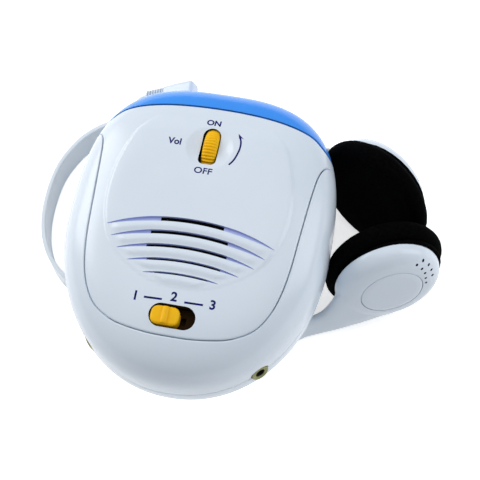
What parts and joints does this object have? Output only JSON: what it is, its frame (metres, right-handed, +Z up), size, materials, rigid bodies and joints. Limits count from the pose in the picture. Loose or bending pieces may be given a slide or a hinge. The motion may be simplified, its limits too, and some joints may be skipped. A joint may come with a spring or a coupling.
{
  "type": "portable doppler",
  "caption": "Palm-sized sound listener with thumbwheel, mode slider and bowed speaker slots, standing on its bell, with a corded headset plugged in.",
  "frame": {"origin": "middle of the base of the listener and headset, on the table", "axes": "+X to the device's right, towards the headset's pads; +Y towards the blue top cap; +Z up out of the front face"},
  "size_m": [0.159, 0.1227, 0.0613],
  "materials": {
    "white_plastic": "smooth moulded, cool white",
    "blue_plastic": "smooth moulded, bright blue",
    "yellow_plastic": "moulded, warm yellow",
    "black_plastic": "moulded, dark",
    "foam": "open-cell foam, black",
    "cord_jacket": "soft jacket, white",
    "board": "solder-masked laminate",
    "steel": "plated steel",
    "brass": "brass, dull khaki gold"
  },
  "bodies": {
    "unit": {"front_panel": "white_plastic", "side_collar": "white_plastic", "back_shell": "white_plastic", "listening_bell": "white_plastic", "headband": "white_plastic", "plug_head": "white_plastic", "plug_relief": "white_plastic", "cord_gland": "white_plastic", "top_cap": "blue_plastic", "filter_capacitor": "blue_plastic", "cord_from_plug": "cord_jacket", "cord_coil": "cord_jacket", "cord_to_band": "cord_jacket", "amplifier_chip": "black_plastic", "bell_diaphragm": "black_plastic", "grille_cloth": "black_plastic", "speaker_cone": "black_plastic", "volume_pot": "black_plastic", "slide_switch": "black_plastic", "coil_tie": "black_plastic", "circuit_board": "board", "switch_board": "board", "case_screw_1": "steel", "case_screw_2": "steel", "case_screw_3": "steel", "case_screw_4": "steel", "battery_1": "steel", "battery_2": "steel", "contact_plate_left": "steel", "contact_plate_right": "steel", "microphone_capsule": "steel", "speaker_basket": "steel", "speaker_magnet": "steel", "aux_jack": "brass", "record_jack": "brass", "headset_jack": "brass", "plug_pin": "brass"},
    "volume": {"volume_wheel": "yellow_plastic", "volume_shaft": "steel"},
    "slider": {"mode_slider": "yellow_plastic"},
    "door": {"battery_door": "white_plastic"},
    "near_cup": {"near_cup_shell": "white_plastic", "near_cup_cap": "white_plastic", "near_baffle": "black_plastic", "near_driver": "steel", "near_pad": "foam"},
    "far_cup": {"far_cup_shell": "white_plastic", "far_cup_cap": "white_plastic", "far_baffle": "black_plastic", "far_driver": "steel", "far_pad": "foam"}
  },
  "joints": [
    {"name": "volume_turn", "type": "hinge", "parent": "unit", "child": "volume", "pos_m": [-0.0106, 0.02825, 0.05043], "axis": [-1, 0, 0], "range_deg": [0, 270]},
    {"name": "mode_slide", "type": "slide", "parent": "unit", "child": "slider", "axis": [1, 0, 0], "range_m": [0, 0.0052]},
    {"name": "battery_door_tilt", "type": "hinge", "parent": "unit", "child": "door", "pos_m": [-0.0106, -0.0426, 0.0163], "axis": [-1, 0, 0], "range_deg": [0, 35]},
    {"name": "near_cup_slide", "type": "slide", "parent": "unit", "child": "near_cup", "axis": [1, 0, 0], "range_m": [0, 0.018]},
    {"name": "far_cup_slide", "type": "slide", "parent": "unit", "child": "far_cup", "axis": [1, 0, 0], "range_m": [0, 0.018]}
  ]
}
